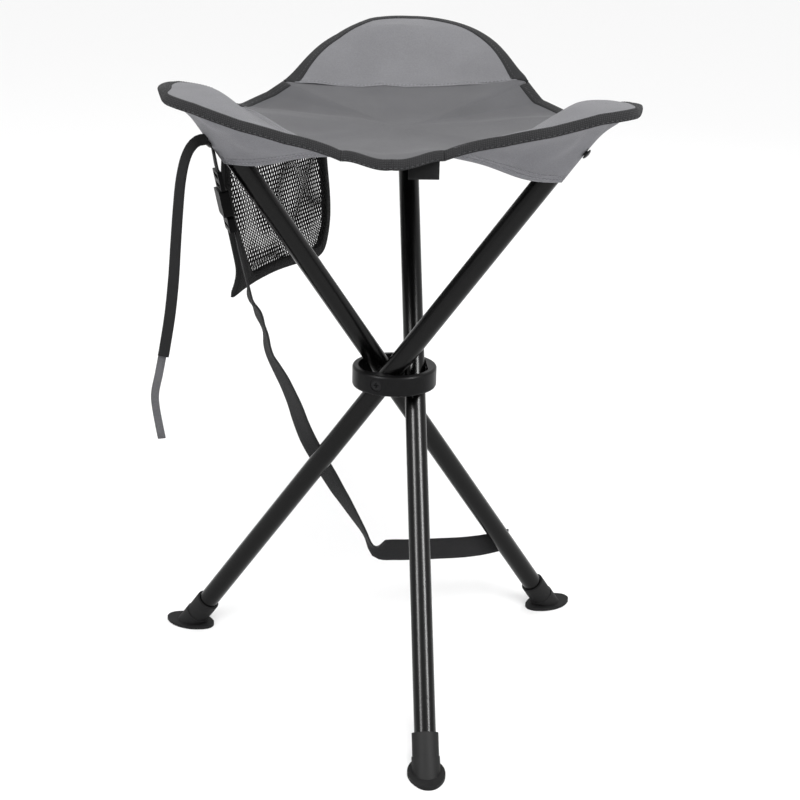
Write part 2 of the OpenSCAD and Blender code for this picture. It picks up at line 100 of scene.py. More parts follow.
# Each middle edge: the corner direction that its seam steps start from.
EDGES = {
    "left_edge_tape": math.radians(90),
    "front_edge_tape": math.radians(210),
    "right_edge_tape": math.radians(330),
}

# How the cloth has settled out of true: bearing in degrees and rise at the rim.
SETTLE = [
    (0, -5), (15, -6), (30, -6), (39, -6), (46, 6), (60, 3), (75, 1), (90, -1), (100, 0),
    (110, -4), (120, -4), (135, -3), (141, -8), (150, -10), (165, -8), (180, -2), (195, -1), (210, -1),
    (220, 0), (230, -2), (240, -1), (255, 6), (270, 13), (285, 9), (300, 3), (310, 2), (320, 4),
    (330, 1), (340, -2), (350, -4), (360, -5),
]

# Free straps: x, y, z and the level direction that the face looks in, in degrees.
CARRY_ROUTE = [
    (-121, -39, 368, 185), (-116, -38, 345, 187), (-111, -36, 323, 189), (-109, -32, 314, 203),
    (-105, -28, 305, 206), (-103, -23, 296, 206), (-100, -18, 287, 202), (-98, -13, 278, 198),
    (-96.5, -8, 268, 206), (-93, -3, 258, 214), (-87, 4, 244, 219), (-81, 11, 229, 220),
    (-76, 17, 215, 223), (-71, 24, 198, 227), (-64.5, 31, 180, 231), (-56.5, 37, 163, 231),
    (-48, 43, 146, 230), (-40.5, 48, 131, 225), (-34.5, 51, 120, 219), (-27, 54.5, 106, 211),
    (-19.5, 57.5, 92, 203), (-14, 60, 81, 199), (-8.5, 62.5, 73, 215), (-2, 64, 70, 250),
    (9, 66, 69, 275), (21, 67, 68.5, 280), (47, 70, 68, 284), (66, 73, 67.5, 290),
    (82, 78, 67, 295), (93, 82.7, 67, 299), (100.1, 86.5, 67, 300), (108, 91.1, 67, 300),
]
ANCHOR_ROUTE = [(-136, -55, 432, 190), (-135, -53, 426, 190), (-134, -51, 420, 190), (-133, -50, 415, 190)]
TIE_ROUTE = [
    (-139, -65, 440, 235), (-146, -68, 439, 235), (-151, -70, 434.5, 238), (-155, -72, 425.5, 242),
    (-158, -74, 411, 246), (-160, -75, 392, 250), (-162, -75, 368, 254), (-164, -75, 342, 262),
    (-167, -74, 316, 268), (-171, -73.4, 292, 270), (-172.5, -73.6, 284, 270),
]
TIE_END_ROUTE = [
    (-171.5, -71.8, 291, 270),
    (-173, -72, 285, 270), (-176, -71, 270, 268), (-179, -70, 256, 262),
    (-179, -70, 246, 258), (-177, -70, 232, 260), (-175, -70, 220, 262),
]

# ---------- camera, light and floor ----------


def make_camera():
    azimuth, elevation, roll = math.radians(4.74), math.radians(19.045), math.radians(1.397)
    forward = Vector((math.sin(azimuth) * math.cos(elevation),
                      math.cos(azimuth) * math.cos(elevation), -math.sin(elevation)))
    level = Vector((math.cos(azimuth), -math.sin(azimuth), 0))
    upright = level.cross(forward)
    right = level * math.cos(roll) + upright * math.sin(roll)
    up = upright * math.cos(roll) - level * math.sin(roll)
    target = level * 0.004874 + Vector((0, 0, 0.22503))
    camera = bpy.data.objects.new("camera", bpy.data.cameras.new("camera"))
    camera.data.sensor_width = 36
    camera.data.lens = 79.76
    place = Matrix((right, up, -forward)).transposed().to_4x4()
    place.translation = target - forward * 1.37465
    camera.matrix_world = place
    bpy.context.collection.objects.link(camera)
    bpy.context.scene.camera = camera


def area_light(name, location, aim, size, power, highlight):
    """A soft lamp. A highlight lamp only makes streaks on shiny pieces, and any other only lights evenly."""
    light = bpy.data.lights.new(name, "AREA")
    light.shape = "RECTANGLE"
    light.size, light.size_y = size
    light.energy = power
    lamp = bpy.data.objects.new(name, light)
    lamp.location = location
    lamp.rotation_euler = (Vector(aim) - Vector(location)).to_track_quat("-Z", "Y").to_euler()
    lamp.visible_diffuse = not highlight
    lamp.visible_glossy = highlight
    bpy.context.collection.objects.link(lamp)


def make_lights():
    world = bpy.data.worlds.new("studio")
    bpy.context.scene.world = world
    world.use_nodes = True
    background = world.node_tree.nodes["Background"]
    background.inputs["Color"].default_value = (1, 1, 1, 1)
    background.inputs["Strength"].default_value = 1.0
    area_light("key", (0.1, -1.2, 1.7), (0, 0, 0.3), (0.8, 0.8), 22, False)
    area_light("back", (1.0, 1.2, 1.4), (0, 0, 0.4), (0.5, 1.0), 5, False)
    area_light("left_strip", (-1.04, -0.81, 1.45), (0, 0, 0.2), (0.4, 1.4), 70, True)
    area_light("right_strip", (0.94, -0.88, 1.5), (0, 0, 0.2), (0.4, 1.4), 95, True)


def make_floor():
    mesh = bpy.data.meshes.new("floor")
    mesh.from_pydata([(-6, -6, 0), (6, -6, 0), (6, 6, 0), (-6, 6, 0)], [], [(0, 1, 2, 3)])
    floor = bpy.data.objects.new("floor", mesh)
    bpy.context.collection.objects.link(floor)
    material = bpy.data.materials.new("floor")
    material.use_nodes = True
    shader = material.node_tree.nodes["Principled BSDF"]
    shader.inputs["Base Color"].default_value = (0.93, 0.93, 0.93, 1)
    shader.inputs["Roughness"].default_value = 0.9
    shader.inputs["Specular IOR Level"].default_value = 0.1
    floor.data.materials.append(material)


# ---------- materials ----------


class Shader:
    """A material's node tree, with short calls for the nodes used here."""

    def __init__(self, name):
        self.material = bpy.data.materials.new(name)
        self.material.use_nodes = True
        self.tree = self.material.node_tree
        self.principled = self.tree.nodes["Principled BSDF"]

    def node(self, kind, **settings):
        made = self.tree.nodes.new(kind)
        for key, value in settings.items():
            setattr(made, key, value)
        return made

    def link(self, source, target):
        self.tree.links.new(source, target)

    def coordinates(self, uv, scale):
        place = self.node("ShaderNodeTexCoord")
        mapping = self.node("ShaderNodeMapping")
        mapping.inputs["Scale"].default_value = scale
        self.link(place.outputs["UV" if uv else "Object"], mapping.inputs["Vector"])
        return mapping.outputs["Vector"]

    def noise(self, vector, scale, detail=4, rough=0.6):
        texture = self.node("ShaderNodeTexNoise")
        texture.inputs["Scale"].default_value = scale
        texture.inputs["Detail"].default_value = detail
        texture.inputs["Roughness"].default_value = rough
        self.link(vector, texture.inputs["Vector"])
        return texture.outputs["Fac"]

    def wave(self, vector, scale, direction):
        texture = self.node("ShaderNodeTexWave", bands_direction=direction, wave_profile="SIN")
        texture.inputs["Scale"].default_value = scale
        texture.inputs["Distortion"].default_value = 0
        self.link(vector, texture.inputs["Vector"])
        return texture.outputs["Fac"]

    def math(self, operation, a, b):
        made = self.node("ShaderNodeMath", operation=operation)
        for socket, value in zip(made.inputs, (a, b)):
            if isinstance(value, (int, float)):
                socket.default_value = value
            else:
                self.link(value, socket)
        return made.outputs[0]

    def ramp(self, fac, low, high, start=0.3, end=0.7):
        made = self.node("ShaderNodeValToRGB")
        made.color_ramp.elements[0].position = start
        made.color_ramp.elements[1].position = end
        made.color_ramp.elements[0].color = (*low, 1)
        made.color_ramp.elements[1].color = (*high, 1)
        self.link(fac, made.inputs["Fac"])
        return made.outputs["Color"]

    def bump(self, height, distance, strength=1.0):
        made = self.node("ShaderNodeBump")
        made.inputs["Strength"].default_value = strength
        made.inputs["Distance"].default_value = distance
        self.link(height, made.inputs["Height"])
        self.link(made.outputs["Normal"], self.principled.inputs["Normal"])

    def colour(self, socket):
        self.link(socket, self.principled.inputs["Base Color"])

    def rough(self, fac, low, high):
        span = self.node("ShaderNodeMapRange")
        span.inputs["To Min"].default_value = low
        span.inputs["To Max"].default_value = high
        self.link(fac, span.inputs["Value"])
        self.link(span.outputs["Result"], self.principled.inputs["Roughness"])

    def set(self, name, value):
        self.principled.inputs[name].default_value = value


def grey(value, tint=0.0):
    """A near-neutral grey, a little bluer as tint grows."""
    return (value * (1 - 0.3 * tint), value * (1 - 0.3 * tint), value * (1 + tint))


def cloth_material(name, value, tint=0.06):
    """Coated plain weave: fine threads, soft mottling and a faint sheen."""
    s = Shader(name)
    at = s.coordinates(True, (1, 1, 1))
    place = s.coordinates(False, (1, 1, 1))
    threads = s.math("MULTIPLY", s.wave(at, 500, "X"), s.wave(at, 500, "Y"))
    mottle = s.noise(place, 22, 6)
    grain = s.noise(place, 900, 2)
    both = s.math("ADD", s.math("MULTIPLY", mottle, 0.45), s.math("MULTIPLY", grain, 0.55))
    s.colour(s.ramp(both, grey(value * 0.86, tint), grey(value * 1.14, tint), 0.34, 0.66))
    s.rough(grain, 0.62, 0.82)
    s.bump(s.math("ADD", s.math("MULTIPLY", threads, 0.5), grain), 0.00025, 0.6)
    s.set("Sheen Weight", 0.1)
    s.set("Sheen Roughness", 0.5)
    s.set("Specular IOR Level", 0.2)
    return s.material


def webbing_material(name, value, rib=0.0009, worn=0.0):
    """Woven webbing: ribs across the strap, fine threads along it, fuzzier and paler with wear."""
    s = Shader(name)
    at = s.coordinates(True, (1, 1, 1))
    place = s.coordinates(False, (1, 1, 1))
    ribs = s.wave(at, 0.314 / rib, "Y")
    threads = s.wave(at, 0.314 / (rib * 0.8), "X")
    weave = s.math("MULTIPLY", ribs, threads)
    fuzz = s.noise(place, 700, 3)
    wear = s.noise(place, 60, 5)
    tone = s.math("ADD", s.math("MULTIPLY", weave, 0.5), s.math("MULTIPLY", s.math("ADD", fuzz, wear), 0.25))
    s.colour(s.ramp(tone, grey(value * 0.6, 0.05), grey(value * (1.35 + worn), 0.05), 0.2, 0.75))
    s.rough(fuzz, 0.7, 0.95)
    s.bump(s.math("ADD", weave, s.math("MULTIPLY", fuzz, 0.4)), 0.0004, 0.8)
    s.set("Sheen Weight", 0.06)
    s.set("Specular IOR Level", 0.1)
    return s.material


def plastic_material(name, value, rough, grain=0.00005, shine=0.08):
    """Moulded plastic: fine texture, faint flow marks and rubbed high spots."""
    s = Shader(name)
    place = s.coordinates(False, (1, 1, 1))
    fine = s.noise(place, 1500, 2)
    broad = s.noise(place, 40, 4)
    s.colour(s.ramp(broad, grey(value * 0.85, 0.05), grey(value * 1.25, 0.05)))
    s.rough(broad, rough - 0.06, rough + 0.08)
    s.bump(fine, grain, 0.5)
    s.set("Specular IOR Level", shine)
    return s.material


def powder_material(name, value):
    """Satin powder coat: orange peel, a few dull scuffs and a soft clear highlight."""
    s = Shader(name)
    place = s.coordinates(False, (1, 1, 1))
    peel = s.noise(place, 900, 2)
    scuffs = s.noise(s.coordinates(False, (1, 1, 0.25)), 120, 6, 0.7)
    s.colour(s.ramp(scuffs, grey(value, 0.08), grey(value * 1.8, 0.05), 0.55, 0.85))
    s.rough(scuffs, 0.2, 0.3)
    s.bump(peel, 0.00006, 0.5)
    s.set("Specular IOR Level", 0.17)
    return s.material


def rubber_material(name, value):
    """Moulded rubber: matt, dusty in the hollows."""
    s = Shader(name)
    place = s.coordinates(False, (1, 1, 1))
    dust = s.noise(place, 90, 6, 0.7)
    fine = s.noise(place, 1300, 2)
    s.colour(s.ramp(dust, grey(value, 0.04), grey(value * 1.9, 0.0), 0.4, 0.8))
    s.rough(dust, 0.5, 0.75)
    s.bump(fine, 0.0001, 0.5)
    s.set("Specular IOR Level", 0.14)
    return s.material


MATERIALS = {
    "moulded_plastic": plastic_material("moulded_plastic", 0.005, 0.34),
    "buckle_plastic": plastic_material("buckle_plastic", 0.003, 0.4, 0.00005, 0.03),
    "black_hardware": plastic_material("black_hardware", 0.012, 0.3, 0.00002),
    "black_rivet": plastic_material("black_rivet", 0.008, 0.25, 0.00002),
    "powder_coat": powder_material("powder_coat", 0.0005),
    "foot_rubber": rubber_material("foot_rubber", 0.006),
    "dark_cloth": cloth_material("dark_cloth", 0.07),
    "light_cloth": cloth_material("light_cloth", 0.145, 0.05),
    # pocket_cloth is the corners' fabric again, given its own value to match how light falls on the pockets:
    # painted light, not a different cloth.
    "pocket_cloth": cloth_material("pocket_cloth", 0.155, 0.06),
    "edge_tape": webbing_material("edge_tape", 0.016, 0.0015, 0.9),
    "black_tape": webbing_material("black_tape", 0.006, 0.0008),
    "netting": webbing_material("netting", 0.004, 0.0004),
    "webbing": webbing_material("webbing", 0.016),
    "tie_webbing": webbing_material("tie_webbing", 0.011, 0.0008, 0.2),
    "tie_webbing_end": webbing_material("tie_webbing_end", 0.1, 0.0008, 0.6),
    "thread": webbing_material("thread", 0.07, 0.0003),
    "hem_thread": webbing_material("hem_thread", 0.38, 0.0003),
}

# ---------- mesh helpers ----------


def add_object(name, points, faces, slot, uvs=None, smooth=True):
    """A mesh object from points in millimetres. uvs holds one pair per point, in metres."""
    mesh = bpy.data.meshes.new(name)
    mesh.from_pydata((np.asarray(points, float) * 0.001).tolist(), [], faces)
    mesh.update()
    if uvs is not None:
        layer = mesh.uv_layers.new(name="UVMap")
        index = np.empty(len(mesh.loops), int)
        mesh.loops.foreach_get("vertex_index", index)
        layer.data.foreach_set("uv", (np.asarray(uvs, float)[index]).ravel())
    mesh.polygons.foreach_set("use_smooth", [smooth] * len(mesh.polygons))
    made = bpy.data.objects.new(name, mesh)
    made.data.materials.append(MATERIALS[slot])
    bpy.context.collection.objects.link(made)
    return made


def grid_normals(grid):
    """Unit normals at a grid of points."""
    along = np.gradient(grid, axis=0)
    across = np.gradient(grid, axis=1)
    normal = np.cross(along, across)
    length = np.linalg.norm(normal, axis=2, keepdims=True)
    return normal / np.maximum(length, 1e-9)


def grid_uv(grid):
    """Distances along the middle row and column, in metres."""
    def run(steps):
        return np.concatenate([[0], np.cumsum(np.linalg.norm(np.diff(steps, axis=0), axis=1))]) * 0.001
    u = run(grid[:, grid.shape[1] // 2])
    v = run(grid[grid.shape[0] // 2])
    return np.stack(np.meshgrid(u, v, indexing="ij"), axis=2)


def grid_area(grid):
    """The grid's area in square metres."""
    a = grid[1:, :-1] - grid[:-1, :-1]
    b = grid[:-1, 1:] - grid[:-1, :-1]
    return float(np.linalg.norm(np.cross(a, b), axis=2).sum()) * 1e-6


def shell(name, grid, thickness, slot, wrap=False, centre=False):
    """A closed sheet of that thickness about a grid of points.

    wrap joins the last row to the first; centre says that the first column is all one point."""
    rows, cols = grid.shape[:2]
    normal = grid_normals(grid)
    if centre:
        middle = normal[:, 1].mean(axis=0)
        normal[:, 0] = middle / np.linalg.norm(middle)
    points = np.concatenate([(grid + normal * thickness / 2).reshape(-1, 3),
                             (grid - normal * thickness / 2).reshape(-1, 3)])
    uv = grid_uv(grid).reshape(-1, 2)
    n = rows * cols
    faces = []
    last = rows if wrap else rows - 1
    for i in range(last):
        k = (i + 1) % rows
        for j in range(cols - 1):
            a, b, c, d = i * cols + j, i * cols + j + 1, k * cols + j + 1, k * cols + j
            faces.append((a, d, c, b))
            faces.append((n + a, n + b, n + c, n + d))
    if wrap:
        rim = [[i * cols + cols - 1 for i in range(rows - 1, -1, -1)] + [(rows - 1) * cols + cols - 1]]
        if not centre:
            rim.append([i * cols for i in range(rows)] + [0])
    else:
        rim = [list(range(cols)) + [i * cols + cols - 1 for i in range(1, rows)]
               + [(rows - 1) * cols + j for j in range(cols - 2, -1, -1)]
               + [i * cols for i in range(rows - 2, -1, -1)]]
    for loop in rim:
        for a, b in zip(loop, loop[1:]):
            faces.append((a, b, n + b, n + a))
    made = add_object(name, points, faces, slot, np.concatenate([uv, uv]))
    tidy(made)
    return made


def tidy(made):
    """Merges doubled points and turns every face outwards."""
    mesh = bmesh.new()
    mesh.from_mesh(made.data)
    bmesh.ops.remove_doubles(mesh, verts=mesh.verts, dist=1e-6)
    bmesh.ops.dissolve_degenerate(mesh, edges=mesh.edges, dist=1e-7)
    bmesh.ops.recalc_face_normals(mesh, faces=mesh.faces)
    mesh.to_mesh(made.data)
    mesh.free()


def tube_along(name, rings, slot, uvs):
    """A closed tube through rings of points, with flat ends."""
    count, sides = rings.shape[:2]
    points = rings.reshape(-1, 3)
    faces = []
    for i in range(count - 1):
        for k in range(sides):
            a, b = i * sides + k, i * sides + (k + 1) % sides
            faces.append((a, b, b + sides, a + sides))
    faces.append(tuple(range(sides - 1, -1, -1)))
    faces.append(tuple((count - 1) * sides + k for k in range(sides)))
    made = add_object(name, points, faces, slot, uvs)
    tidy(made)
    return made


def smooth_route(route, step=2.5):
    """Points along a Catmull-Rom curve through a strap's route, about step apart."""
    route = np.asarray(route, float)
    padded = np.concatenate([[2 * route[0] - route[1]], route, [2 * route[-1] - route[-2]]])
    made = []
    for i in range(1, len(padded) - 2):
        p0, p1, p2, p3 = padded[i - 1:i + 3]
        count = max(2, int(np.linalg.norm(p2[:3] - p1[:3]) / step))
        for t in np.arange(count) / count:
            made.append(0.5 * (2 * p1 + (p2 - p0) * t + (2 * p0 - 5 * p1 + 4 * p2 - p3) * t ** 2
                               + (3 * p1 - p0 - 3 * p2 + p3) * t ** 3))
    made.append(route[-1])
    return np.array(made)


def strap_frames(path):
    """Centre points, width directions and face directions along a strap."""
    centre = path[:, :3]
    run = np.gradient(centre, axis=0)
    run /= np.linalg.norm(run, axis=1, keepdims=True)
    yaw = np.radians(path[:, 3])
    face = np.stack([np.cos(yaw), np.sin(yaw), np.zeros(len(yaw))], axis=1)
    wide = np.cross(face, run)
    wide /= np.linalg.norm(wide, axis=1, keepdims=True)
    thin = np.cross(run, wide)
    return centre, wide, thin


def strap(name, route, width, thickness, slot):
    """Webbing along a route: a flat section with rounded selvedges."""
    path = smooth_route(route)
    centre, wide, thin = strap_frames(path)
    corner = min(0.7, thickness * 0.45)
    half_w, half_t = width / 2, thickness / 2
    section = [(-half_w, -half_t + corner), (-half_w + corner, -half_t), (-half_w * 0.5, -half_t),
               (0, -half_t), (half_w * 0.5, -half_t), (half_w - corner, -half_t), (half_w, -half_t + corner),
               (half_w, half_t - corner), (half_w - corner, half_t), (half_w * 0.5, half_t), (0, half_t),
               (-half_w * 0.5, half_t), (-half_w + corner, half_t), (-half_w, half_t - corner)]
    run = np.concatenate([[0], np.cumsum(np.linalg.norm(np.diff(centre, axis=0), axis=1))])
    rings = np.array([[c + w * x + t * y for x, y in section] for c, w, t in zip(centre, wide, thin)])
    uvs = np.array([[(x * 0.001, r * 0.001) for x, y in section] for r in run]).reshape(-1, 2)
    return tube_along(name, rings, slot, uvs), centre


def stitches(name, lines, length=2.6, pitch=3.8, radius=0.32, slot="thread"):
    """Raised thread stitches along lines, each a list of (point, normal) in millimetres."""
    points, faces = [], []
    for line in lines:
        place = np.array([p for p, n in line], float)
        normal = np.array([n for p, n in line], float)
        run = np.concatenate([[0], np.cumsum(np.linalg.norm(np.diff(place, axis=0), axis=1))])
        for start in np.arange(pitch / 2, run[-1] - length, pitch):
            ends = [np.array([np.interp(start + d, run, place[:, k]) for k in range(3)]) for d in (0, length)]
            up = np.array([np.interp(start, run, normal[:, k]) for k in range(3)])
            up /= np.linalg.norm(up)
            along = ends[1] - ends[0]
            along /= np.linalg.norm(along)
            side = np.cross(up, along)
            base = len(points)
            points.append(ends[0])
            for share, size in ((0.2, 0.8), (0.5, 1.0), (0.8, 0.8)):
                middle = ends[0] + (ends[1] - ends[0]) * share
                for k in range(6):
                    turn = k * math.pi / 3
                    points.append(middle + (side * math.cos(turn) + up * math.sin(turn)) * radius * size)
            points.append(ends[1])
            for k in range(6):
                a, b = base + 1 + k, base + 1 + (k + 1) % 6
                faces.append((base, b, a))
                faces.append((a, b, b + 6, a + 6))
                faces.append((a + 6, b + 6, b + 12, a + 12))
                faces.append((a + 12, b + 12, base + 19))
    uvs = np.array(points)[:, :2] * 0.001
    return add_object(name, points, faces, slot, uvs)


# ---------- seat surface, as in the CAD ----------


def smooth(x):
    c = min(1.0, max(0.0, x))
    return c * c * (3 - 2 * c)


def turned(p, a):
    return np.array([p[0] * math.cos(a) - p[1] * math.sin(a), p[0] * math.sin(a) + p[1] * math.cos(a), p[2]])


def settled(a, r):
    bearings, rises = zip(*SETTLE)
    return np.interp(math.degrees(a) % 360, bearings, rises) * min(1.0, (r / 125) ** 2)


def seat_point(a, r, z):
    p = turned((r, 0, z + settled(a, r) - SEAT_MID_Z), a + SEAT_TURN)
    c, s = math.cos(SEAT_RAKE), math.sin(SEAT_RAKE)
    return np.array([p[0], p[1] * c - p[2] * s, SEAT_MID_Z + p[1] * s + p[2] * c])


def rim_share(f):
    return min(1.0, abs(f) / SEAM_ANGLE)


def ear_u(lean):
    return TIP_U - EAR_SHORT[round(math.degrees(lean))]


def rim_r(lean, f):
    """The back corner is broad and round; the side corners are more pointed."""
    blunt = 1.2 if round(math.degrees(lean)) == 90 else 0.9
    reach = ear_u(lean)
    return reach - (reach - SEAM_END_R) * (1 - math.cos(math.pi * rim_share(f) ** blunt)) / 2


def rim_z(f):
    return TIP_Z - (TIP_Z - SEAM_END_Z) * rim_share(f) ** 1.7


def seam_z(f):
    return SEAM_MID_Z + (SEAM_END_Z - SEAM_MID_Z) * (math.tan(abs(f)) / math.tan(SEAM_ANGLE)) ** 1.5


def ripple(p, size, depth):
    """A gentle unevenness of slack cloth."""
    return depth * noise(Vector(p) / size)


def corner_z(lean, f, r):
    seam_r = SEAM_U / math.cos(f)
    k = max(0.0, (r - seam_r) / max(1.0, rim_r(lean, f) - seam_r))
    crest = 0.64 + 0.36 * smooth(abs(f) / math.radians(24))
    return seam_z(f) + (rim_z(f) - seam_z(f)) * smooth(k / crest)


def corner_point(lean, f, r):
    p = seat_point(lean + f, r, corner_z(lean, f, r))
    inside = smooth((rim_r(lean, f) - r) / 30) * smooth((r - SEAM_U) / 20)
    return p + np.array([0, 0, ripple(p, 26, 1.6) * inside])


def tape_r(lean, f):
    reach = rim_r(lean, f)
    return min(reach - 1, max(reach - TAPE_W, SEAM_U / math.cos(f)))


def from_corner(a):
    return math.radians(60) - abs((a + math.radians(270)) % math.radians(120) - math.radians(60))


def edge_share(a):
    return smooth((from_corner(a) - SEAM_ANGLE) / (math.radians(60) - SEAM_ANGLE))


def outline_r(a):
    f = from_corner(a)
    if f < SEAM_ANGLE:
        return SEAM_U / math.cos(f)
    return SEAM_END_R + (EDGE_MID_R - SEAM_END_R) * edge_share(a)


def outline_z(a):
    f = from_corner(a)
    if f < SEAM_ANGLE:
        return seam_z(f)
    return SEAM_END_Z + (EDGE_MID_Z - SEAM_END_Z) * edge_share(a)


def panel_point(a, r):
    k = r / outline_r(a)
    p = seat_point(a, r, SEAT_MID_Z + (outline_z(a) - SEAT_MID_Z) * k ** 1.8)
    return p + np.array([0, 0, ripple(p, 45, 1.8) * smooth((1 - k) * 4)])


def under_tube(lean, s, off):
    return turned((s * math.sin(LEG_TILT) + off * math.cos(LEG_TILT), -LEG_OFFSET,
                   PIVOT_Z + s * math.cos(LEG_TILT) - off * math.sin(LEG_TILT)), lean)


def under_line(lean, m):
    off, along, end_s = TUBE_D / 2 + 1.4, 0.8, UPPER_LEN + 4
    k = max(0.0, (m - along) / (1 - along))
    hem_s = HEM_S[round(math.degrees(lean))]
    low = under_tube(lean, min(end_s, hem_s + (end_s - hem_s) * m / along), off)
    return low * (1 - k) + (corner_point(lean, 0, ear_u(lean) - 2) - np.array([0, 0, 4])) * k


def front_drop(tangent):
    """How far the rim's binding hangs down outside, from 0 to 1: it does along edges that face the front."""
    return smooth((tangent[0] / max(1e-6, math.hypot(tangent[0], tangent[1])) - 0.1) / 0.5)


def corner_edge(lean, f):
    """The binding's inner and outer lines at one place on a corner's rim."""
    step = math.radians(0.5)
    g = max(-SEAM_ANGLE + step, min(SEAM_ANGLE - step, f))
    run = (seat_point(lean + g + step, rim_r(lean, g + step), SEAT_MID_Z)
           - seat_point(lean + g - step, rim_r(lean, g - step), SEAT_MID_Z))
    drop = front_drop(run)
    reach = rim_r(lean, f)
    inner = corner_point(lean, f, tape_r(lean, f) + (reach - 0.8 - tape_r(lean, f)) * drop)
    outer = corner_point(lean, f, reach) + turned((0.8 * drop, 0, -BINDING_HANG * drop), lean + f + SEAT_TURN)
    return inner, outer


def middle_edge(a):
    """The binding's inner and outer lines at one place on the middle panel's edge."""
    step = math.radians(0.5)
    run = (seat_point(a + step, outline_r(a + step), SEAT_MID_Z)
           - seat_point(a - step, outline_r(a - step), SEAT_MID_Z))
    drop = front_drop(run)
    reach = outline_r(a)
    inner = panel_point(a, reach - TAPE_W + (TAPE_W - 0.8) * drop)
    outer = panel_point(a, reach) + turned((0.8 * drop, 0, -BINDING_HANG * drop), a + SEAT_TURN)
    return inner, outer


def pocket_point(lean, m, q):
    """The cloth under a corner: m runs from the hem to the ear's tip, q from one seam end to the other."""
    f = math.copysign((SEAM_ANGLE - math.radians(0.5)) * (1 - m), q)
    inner, outer = corner_edge(lean, f)
    rim = inner + (outer - inner) * 0.35 - turned((1.2, 0, 0.8), lean + f + SEAT_TURN)
    low = under_line(lean, m)
    across = abs(q)
    mixed = low + (rim - low) * np.array([across, across, across ** 1.25])
    slack = math.sin(math.pi * across) * smooth(m * 4) * smooth((1 - m) * 3)
    out = turned((1, 0, -0.5), lean)
    hem = (1 - smooth(m * 6)) * math.sin(math.pi * across)
    sway = hem * 2.2 * math.sin(5.2 * q + lean)
    return (mixed + out * slack * (1.5 + 5 * noise(Vector((mixed[0] / 22, mixed[1] / 22, mixed[2] / 60))))
            + np.array([0, 0, sway]))


# ---------- seat pieces ----------


def corner_flat(grid):
    """The cut size of a cloth piece: its longest row and column, and its area, in metres."""
    uv = grid_uv(grid)
    width, length = [
        max(float(np.linalg.norm(np.diff(line, axis=0), axis=1).sum()) for line in lines)
        for lines in (grid.transpose(1, 0, 2), grid)
    ]
    return (width * 0.001, length * 0.001), min(grid_area(grid), width * length * 1e-6)


def blend_corner(piece):
    """Bakes the piece's placement into its points."""
    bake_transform(piece)


def make_corner_panel(side):
    lean, leg, tube = CORNERS[side]
    fs = np.linspace(-1, 1, 61) * (SEAM_ANGLE - math.radians(2.6))
    grid = []
    for f in fs:
        inner, outer = corner_edge(lean, f)
        flat = turned(inner, -lean - f - SEAT_TURN)
        last = max(SEAM_U / math.cos(f) + 2, math.hypot(flat[0], flat[1]))
        row = [corner_point(lean, f, r) for r in np.linspace(SEAM_U / math.cos(f) - 3, last, 36)[:-1]]
        row.extend([inner, inner + (outer - inner) * 0.4])
        grid.append(row)
    grid = np.array(grid)
    grid[:, :, 2] += 0.35
    piece = shell(f"{side}_corner_cloth", grid, CLOTH_THICK, "light_cloth")
    flat, area = corner_flat(grid)
    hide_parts(f"{side}_corner")
    blend_corner(piece)


def make_corner_seam(side):
    """Two rows of stitches along the seam between a corner and the middle panel."""
    lean = CORNERS[side][0]
    lines = []
    for inset in (-1.6, 1.6):
        line = []
        for f in np.linspace(-1, 1, 60) * (SEAM_ANGLE - math.radians(4)):
            r = (SEAM_U + inset) / math.cos(f)
            top = panel_point(lean + f, r) if inset < 0 else corner_point(lean, f, r)
            line.append((top + np.array([0, 0, 1.0]), (0, 0, 1)))
        lines.append(line)
    piece = stitches(f"{side}_seam_stitches", lines, 2.2, 3.0, 0.2, "hem_thread")
    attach(piece, "hub")


def tape_section(inner, outer, normal, thickness):
    """Binding tape folded over an edge: a flat U round the outer edge."""
    out = outer - inner
    width = np.linalg.norm(out)
    out = out / max(width, 1e-9)
    half = thickness / 2
    shape = [(-1.2, half * 0.6), (width * 0.1, half), (width * 0.6, half), (width - 1.2, half * 0.95),
             (width - 0.35, half * 0.6), (width, 0), (width - 0.35, -half * 0.6), (width - 1.2, -half * 0.95),
             (width * 0.6, -half), (width * 0.1, -half), (-1.2, -half * 0.6)]
    return [inner + out * x + normal * y for x, y in shape], [x for x, y in shape]


def tape(name, inner, outer, slot, thickness=2.6):
    """Binding tape between an inner and an outer edge line."""
    inner, outer = np.array(inner), np.array(outer)
    normals = grid_normals(np.stack([inner, outer], axis=1))[:, 0]
    if normals[:, 2].mean() < 0:
        normals *= -1
    rings, uvs = [], []
    run = np.concatenate([[0], np.cumsum(np.linalg.norm(np.diff(outer, axis=0), axis=1))])
    for i, o, n, r in zip(inner, outer, normals, run):
        ring, across = tape_section(i, o, n, thickness)
        rings.append(ring)
        uvs.extend([(x * 0.001, r * 0.001) for x in across])
    return tube_along(name, np.array(rings), slot, np.array(uvs)), normals


def binding_stitches(name, inner, outer, normals, ends):
    """Stitches along a binding's sewn side, above and below, which is its lower side where it hangs down.

    ends says how many places at each end have none."""
    rows = [[], []]
    for i, o, n in list(zip(inner, outer, normals))[ends:len(normals) - ends]:
        sewn = i + (o - i) * (0.2 + 0.6 * smooth((i[2] - o[2]) / 5))
        rows[0].append((sewn + n * 1.35, n))
        rows[1].append((sewn - n * 1.35, -n))
    return stitches(name, rows)


def make_corner_tape(side):
    lean, leg, _ = CORNERS[side]
    fs = np.linspace(-1, 1, 97) * SEAM_ANGLE
    inner, outer = zip(*[corner_edge(lean, f) for f in fs])
    piece, normals = tape(f"{side}_corner_binding", inner, outer, "edge_tape")
    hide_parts(f"{side}_corner_tape")
    blend_corner(piece)
    blend_corner(binding_stitches(f"{side}_binding_stitches", inner, outer, normals, 3))


